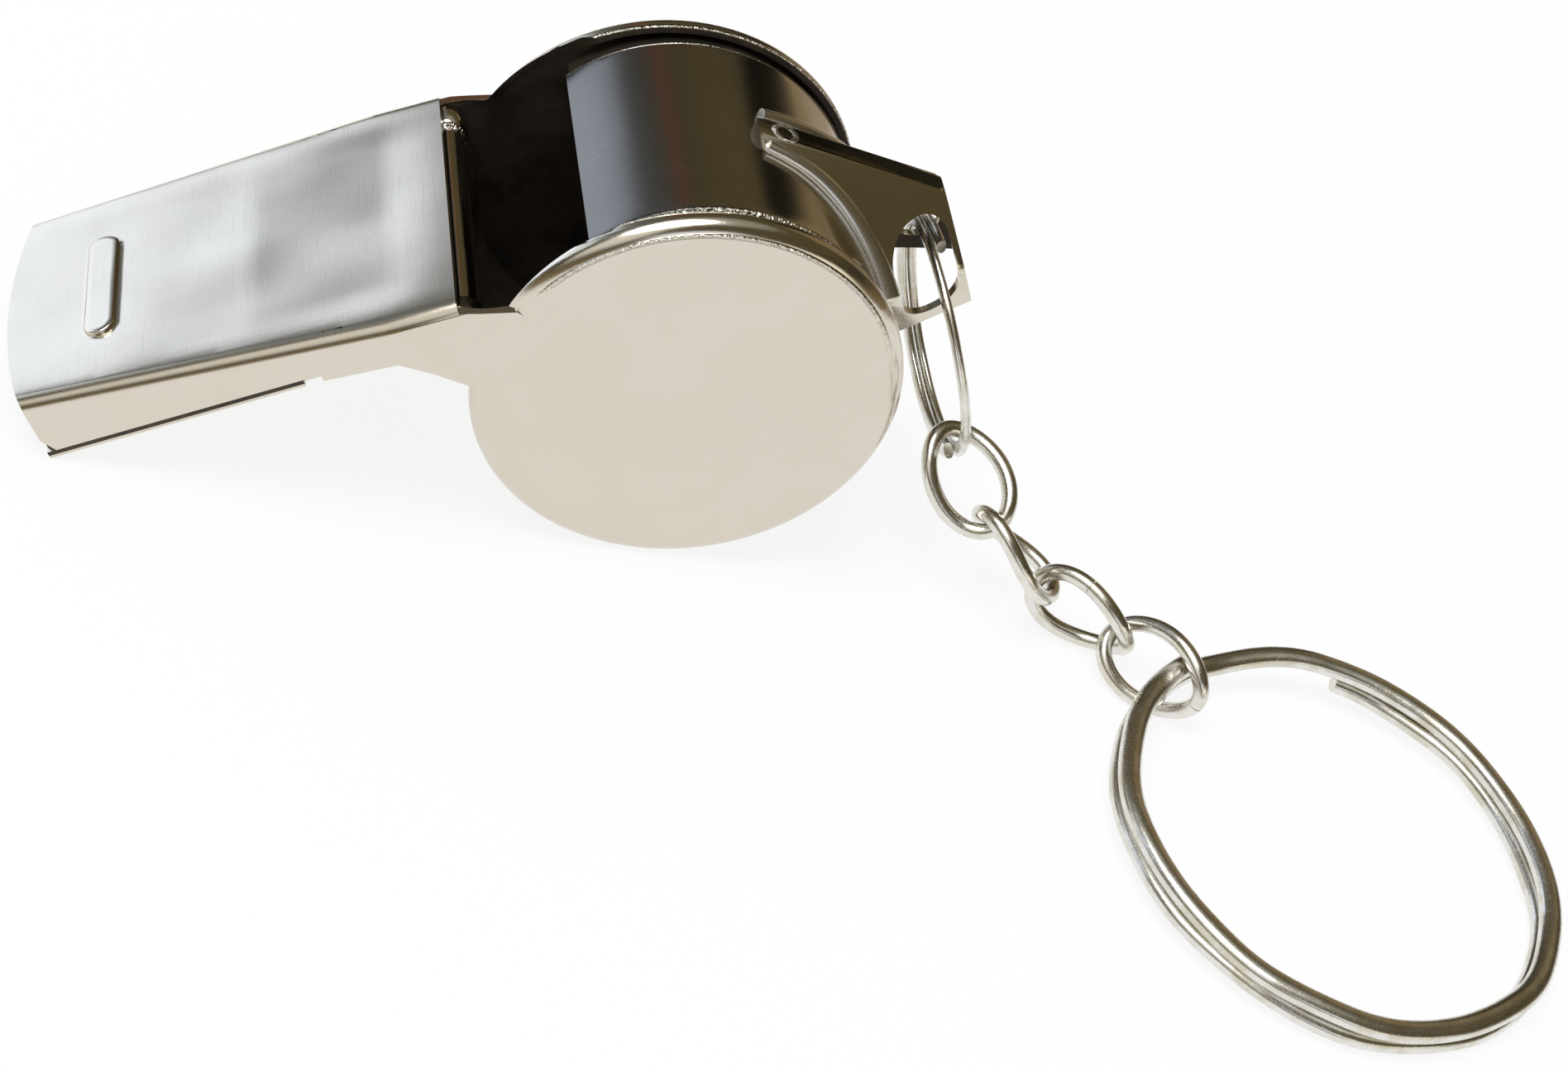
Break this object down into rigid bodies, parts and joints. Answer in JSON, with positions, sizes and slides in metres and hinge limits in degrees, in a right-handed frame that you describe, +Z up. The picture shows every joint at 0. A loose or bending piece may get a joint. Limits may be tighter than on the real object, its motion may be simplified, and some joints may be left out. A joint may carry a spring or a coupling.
{
  "type": "sports whistle",
  "caption": "Pressed-metal pea whistle with a folded lanyard lug, a small split ring, a short twisted chain and a key ring",
  "frame": {"origin": "centre of the whole part's footprint, on the table it rests on", "axes": "+X runs from the whistle's mouth toward the key ring, the drum's axis is along Y, +Z is up"},
  "size_m": [0.08, 0.046, 0.0215],
  "materials": {
    "nickel_plate": "bright nickel plate over pressed sheet, finely rubbed",
    "ring_steel": "bright plated spring steel, slightly wavy coils",
    "link_wire": "bright plated round wire",
    "cork": "matt brown cork with dark pores"
  },
  "bodies": {
    "whistle": {"body_shell": "nickel_plate", "drum_band": "nickel_plate", "mouthpiece_floor": "nickel_plate", "lanyard_lug": "nickel_plate"},
    "pea": {"pea": "cork"},
    "small_ring": {"small_split_ring": "ring_steel"},
    "link_1": {"chain_link_1": "link_wire"},
    "link_2": {"chain_link_2": "link_wire"},
    "link_3": {"chain_link_3": "link_wire"},
    "link_4": {"chain_link_4": "link_wire"},
    "key_ring": {"key_ring": "ring_steel"}
  },
  "joints": [
    {"name": "pea_orbit", "type": "hinge", "parent": "whistle", "child": "pea", "pos_m": [-0.00787, 0.01424, 0.01064], "axis": [0, 1, 0], "continuous": true},
    {"name": "small_ring_swing", "type": "hinge", "parent": "whistle", "child": "small_ring", "pos_m": [0.00403, 0.01424, 0.01689], "axis": [-0.0136, 0.9907, -0.1354], "range_deg": [-40, 15]},
    {"name": "chain_link_1_swing", "type": "hinge", "parent": "small_ring", "child": "link_1", "pos_m": [0.00803, 0.00906, 0.00709], "axis": [-0.2082, -0.7032, 0.6798], "range_deg": [-30, 30]},
    {"name": "chain_link_2_swing", "type": "hinge", "parent": "link_1", "child": "link_2", "pos_m": [0.01031, 0.00553, 0.00506], "axis": [0.695, 0.0362, 0.7181], "range_deg": [-30, 30]},
    {"name": "chain_link_3_swing", "type": "hinge", "parent": "link_2", "child": "link_3", "pos_m": [0.01414, 0.00358, 0.00284], "axis": [-0.4672, -0.8817, 0.0666], "range_deg": [-30, 30]},
    {"name": "chain_link_4_swing", "type": "hinge", "parent": "link_3", "child": "link_4", "pos_m": [0.01816, 0.00102, 0.0021], "axis": [-0.1482, -0.5297, 0.8351], "range_deg": [-30, 30]},
    {"name": "key_ring_swing", "type": "hinge", "parent": "link_4", "child": "key_ring", "pos_m": [0.02143, -0.00253, 0.00224], "axis": [0.0628, 0.0729, 0.9954], "range_deg": [-25, 30]}
  ]
}
